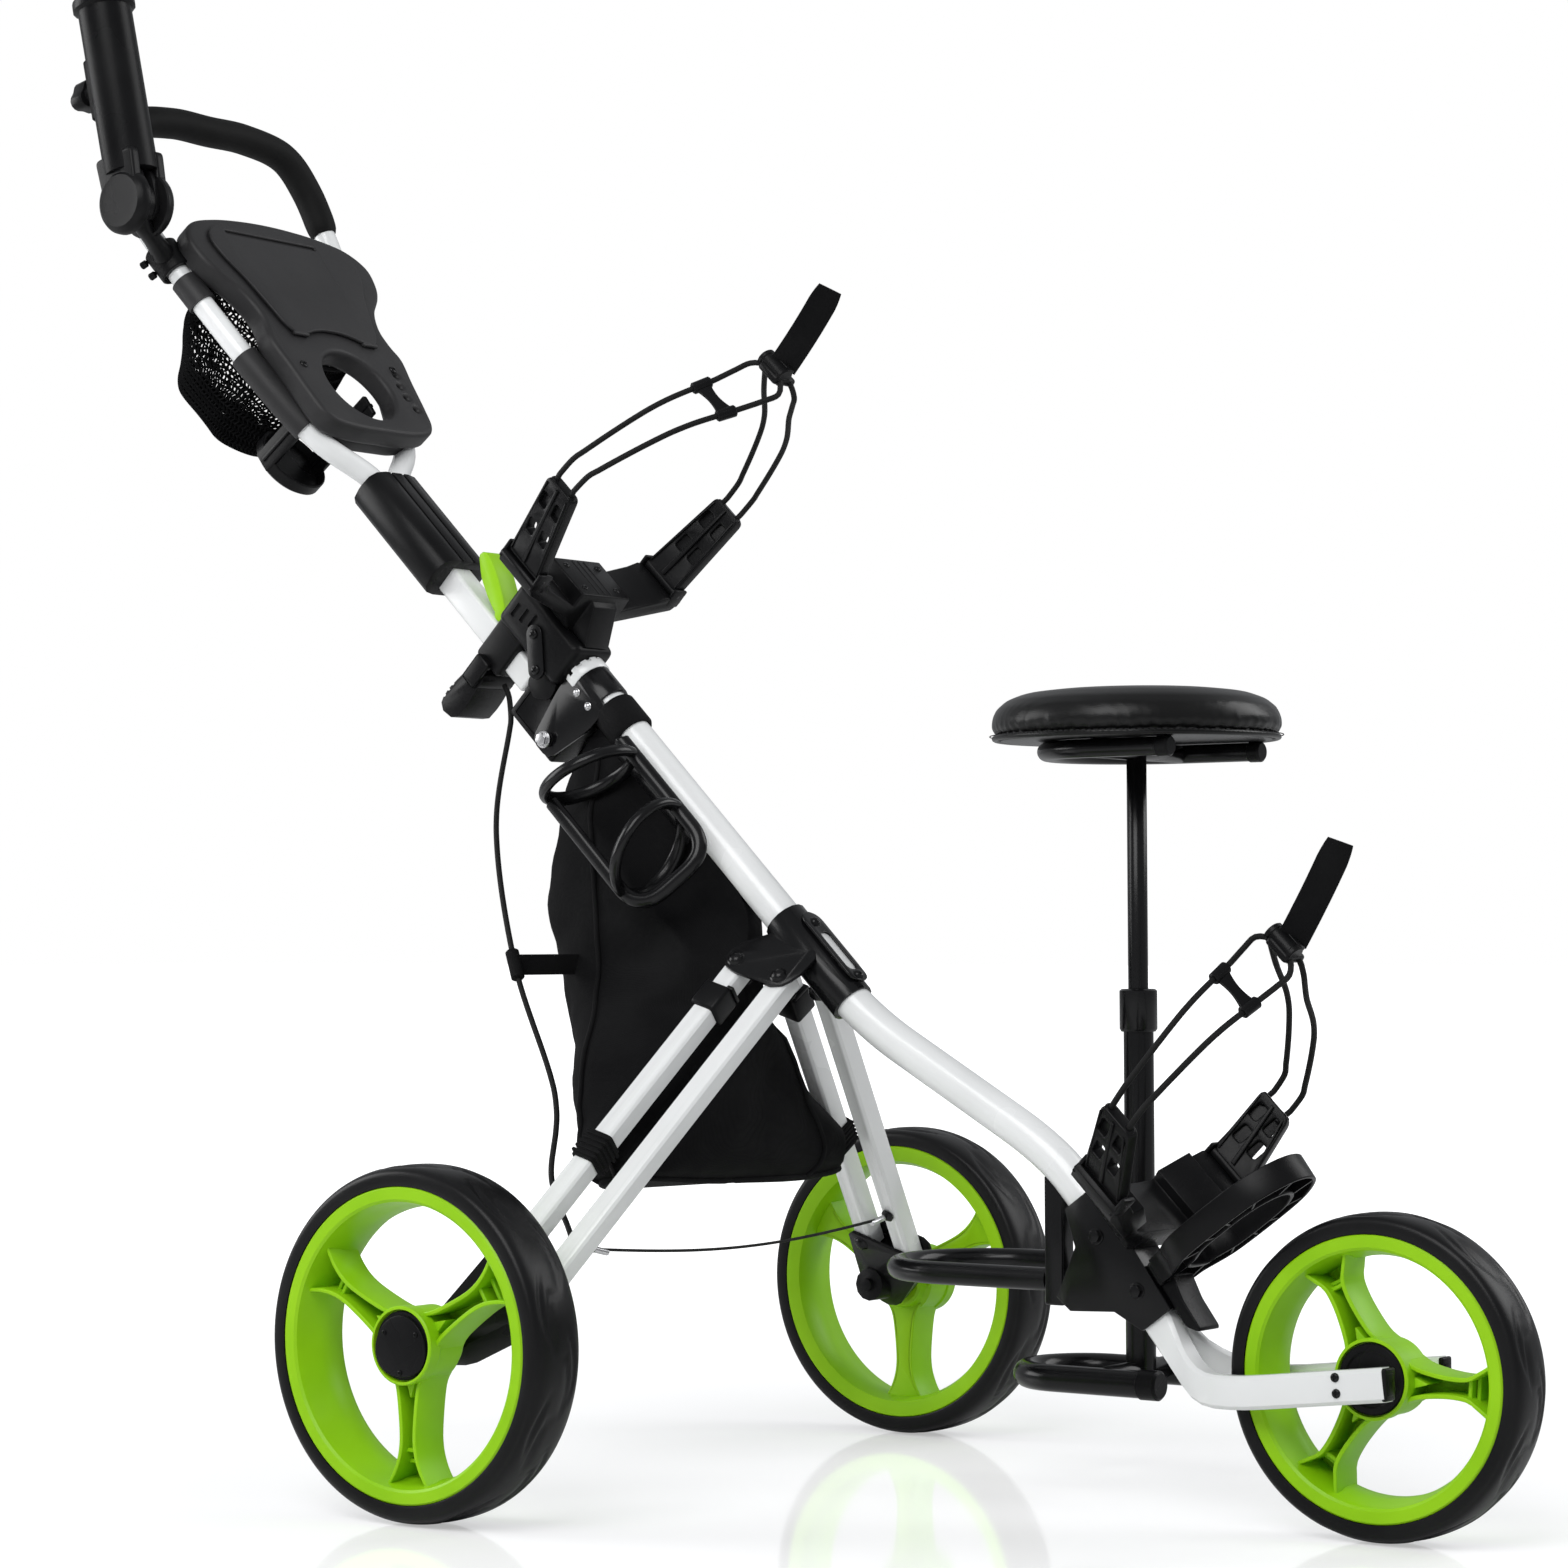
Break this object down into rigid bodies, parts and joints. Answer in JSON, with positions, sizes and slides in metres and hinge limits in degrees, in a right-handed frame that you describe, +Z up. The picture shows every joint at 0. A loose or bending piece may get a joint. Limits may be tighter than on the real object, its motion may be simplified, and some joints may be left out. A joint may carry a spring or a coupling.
{
  "type": "golf push trolley with seat",
  "caption": "Golf push trolley with folding handle and legs, bag brackets with elastic straps, console, bottle cage, umbrella holder and a stool seat.",
  "frame": {"origin": "middle of the box's footprint, on the ground under the wheels", "axes": "+X towards the front wheel, +Y to the left where the seat is, +Z up"},
  "size_m": [1.391, 0.744, 1.3352],
  "materials": {
    "white_paint": "gloss",
    "black_steel": "gloss",
    "black_plastic": "satin",
    "charcoal_plastic": "satin",
    "foam": "matt foam",
    "vinyl": "grained vinyl",
    "green_plastic": "gloss",
    "tyre_foam": "smooth moulded foam",
    "nylon": "woven",
    "elastic": "braided"
  },
  "bodies": {
    "frame": {"main_tube": "white_paint", "front_fork": "white_paint", "fork_gusset": "black_steel", "seat_mount_post": "black_steel", "seat_stay": "black_steel", "seat_stand": "black_steel", "centre_bracket": "black_steel", "hinge_clevis": "black_steel", "bottle_cage": "black_plastic", "storage_bag": "nylon", "lower_cradle": "black_plastic", "bag_rest": "black_plastic", "lower_cord_right": "elastic", "lower_cord_left": "elastic", "lower_slider": "black_plastic", "lower_hook": "black_plastic", "brake_cable": "elastic", "tie_cable": "elastic"},
    "seat": {"seat_post": "black_steel", "seat_pad": "vinyl"},
    "handle": {"upper_tube": "white_paint", "clamp_housing": "black_plastic", "handle_connector": "black_plastic", "handle_loop": "white_paint", "foam_grip": "foam", "console_tray": "charcoal_plastic", "ball_net": "nylon", "cup_rest": "black_plastic", "umbrella_clamp": "black_plastic", "upper_cradle": "black_plastic", "upper_cord_right": "elastic", "upper_cord_left": "elastic", "upper_slider": "black_plastic", "upper_hook": "black_plastic"},
    "lid": {"console_lid": "charcoal_plastic"},
    "umbrella": {"umbrella_holder": "black_plastic"},
    "knob": {"umbrella_knob": "black_plastic"},
    "brake_grip": {"brake_lever": "black_plastic"},
    "release": {"release_lever": "green_plastic"},
    "upper_right_clip": {"upper_clip_right": "black_plastic"},
    "upper_left_clip": {"upper_clip_left": "black_plastic"},
    "lower_right_clip": {"lower_clip_right": "black_plastic"},
    "lower_left_clip": {"lower_clip_left": "black_plastic"},
    "brake_link": {"brake_arm": "black_steel"},
    "front_wheel": {"front_tyre": "tyre_foam", "front_rim": "green_plastic", "front_hub_cap": "black_plastic"},
    "right_front_link": {"right_front_leg": "white_paint"},
    "right_rear_link": {"right_rear_leg": "white_paint"},
    "right_foot": {"right_wheel_bracket": "black_plastic"},
    "right_wheel": {"right_tyre": "tyre_foam", "right_rim": "green_plastic", "right_hub_cap": "black_plastic"},
    "left_front_link": {"left_front_leg": "white_paint"},
    "left_rear_link": {"left_rear_leg": "white_paint"},
    "left_foot": {"left_wheel_bracket": "black_plastic"},
    "left_wheel": {"left_tyre": "tyre_foam", "left_rim": "green_plastic", "left_hub_cap": "black_plastic"}
  },
  "joints": [
    {"name": "handle_fold", "type": "hinge", "parent": "frame", "child": "handle", "pos_m": [-0.24497, 0, 0.63898], "axis": [0, -1, 0], "range_deg": [0, 85], "deforming": ["brake_cable"]},
    {"name": "seat_height", "type": "slide", "parent": "frame", "child": "seat", "axis": [0, 0, 1], "range_m": [-0.12, 0.06]},
    {"name": "right_leg_fold", "type": "hinge", "parent": "frame", "child": "right_front_link", "pos_m": [0.02199, -0.03, 0.4225], "axis": [-0.2097, 0.7422, -0.6365], "range_deg": [0, 55], "deforming": ["brake_cable"]},
    {"name": "right_rear_leg_fold", "type": "hinge", "parent": "frame", "child": "right_rear_link", "pos_m": [-0.02224, -0.0307, 0.43626], "axis": [-0.2097, 0.7422, -0.6365], "range_deg": [0, 55]},
    {"name": "right_foot_pivot", "type": "hinge", "parent": "right_front_link", "child": "right_foot", "pos_m": [-0.05101, -0.262, 0.176], "axis": [-0.2097, 0.7422, -0.6365], "range_deg": [-55, 0]},
    {"name": "right_wheel_spin", "type": "hinge", "parent": "right_foot", "child": "right_wheel", "pos_m": [-0.10401, -0.344, 0.142], "axis": [0, 1, 0], "continuous": true},
    {"name": "left_leg_fold", "type": "hinge", "parent": "frame", "child": "left_front_link", "pos_m": [0.02199, 0.03, 0.4225], "axis": [0.2097, 0.7422, 0.6365], "range_deg": [0, 55]},
    {"name": "left_rear_leg_fold", "type": "hinge", "parent": "frame", "child": "left_rear_link", "pos_m": [-0.02224, 0.0307, 0.43626], "axis": [0.2097, 0.7422, 0.6365], "range_deg": [0, 55]},
    {"name": "left_foot_pivot", "type": "hinge", "parent": "left_front_link", "child": "left_foot", "pos_m": [-0.05101, 0.262, 0.176], "axis": [0.2097, 0.7422, 0.6365], "range_deg": [-55, 0]},
    {"name": "left_wheel_spin", "type": "hinge", "parent": "left_foot", "child": "left_wheel", "pos_m": [-0.10401, 0.344, 0.142], "axis": [0, 1, 0], "continuous": true},
    {"name": "front_wheel_spin", "type": "hinge", "parent": "frame", "child": "front_wheel", "pos_m": [0.56999, 0, 0.1255], "axis": [0, 1, 0], "continuous": true},
    {"name": "console_lid_hinge", "type": "hinge", "parent": "handle", "child": "lid", "pos_m": [-0.51542, 0, 1.02261], "axis": [0, 1, 0], "range_deg": [0, 100]},
    {"name": "umbrella_tilt", "type": "hinge", "parent": "handle", "child": "umbrella", "pos_m": [-0.60101, -0.174, 1.135], "axis": [0, 1, 0], "range_deg": [-20, 20]},
    {"name": "umbrella_knob_turn", "type": "hinge", "parent": "umbrella", "child": "knob", "pos_m": [-0.65562, -0.174, 1.24355], "axis": [-0.9748, 0, -0.2233], "continuous": true},
    {"name": "brake_lever_swing", "type": "hinge", "parent": "handle", "child": "brake_grip", "pos_m": [-0.32735, 0, 0.69873], "axis": [0, 1, 0], "range_deg": [0, 25]},
    {"name": "brake_arm_swing", "type": "hinge", "parent": "right_foot", "child": "brake_link", "pos_m": [-0.06776, -0.27235, 0.14856], "axis": [-0.2097, 0.7422, -0.6365], "range_deg": [0, 10]},
    {"name": "release_lever_swing", "type": "hinge", "parent": "handle", "child": "release", "pos_m": [-0.30486, 0, 0.75416], "axis": [0, 1, 0], "range_deg": [0, 18]},
    {"name": "upper_right_clip_hinge", "type": "hinge", "parent": "handle", "child": "upper_right_clip", "pos_m": [-0.20304, -0.095, 0.78768], "axis": [0.7071, 0, -0.7071], "range_deg": [-15, 15]},
    {"name": "upper_left_clip_hinge", "type": "hinge", "parent": "handle", "child": "upper_left_clip", "pos_m": [-0.20304, 0.095, 0.78768], "axis": [0.7071, 0, -0.7071], "range_deg": [-15, 15]},
    {"name": "lower_right_clip_hinge", "type": "hinge", "parent": "frame", "child": "lower_right_clip", "pos_m": [0.38032, -0.097, 0.2722], "axis": [0.7071, 0, -0.7071], "range_deg": [-15, 15]},
    {"name": "lower_left_clip_hinge", "type": "hinge", "parent": "frame", "child": "lower_left_clip", "pos_m": [0.38032, 0.097, 0.2722], "axis": [0.7071, 0, -0.7071], "range_deg": [-15, 15]}
  ],
  "couplings": [
    {"joint": "right_rear_leg_fold", "follows": "right_leg_fold", "ratio": 1},
    {"joint": "right_foot_pivot", "follows": "right_leg_fold", "ratio": -1},
    {"joint": "left_rear_leg_fold", "follows": "left_leg_fold", "ratio": 1},
    {"joint": "left_foot_pivot", "follows": "left_leg_fold", "ratio": -1},
    {"joint": "brake_arm_swing", "follows": "brake_lever_swing", "ratio": 0.4}
  ]
}
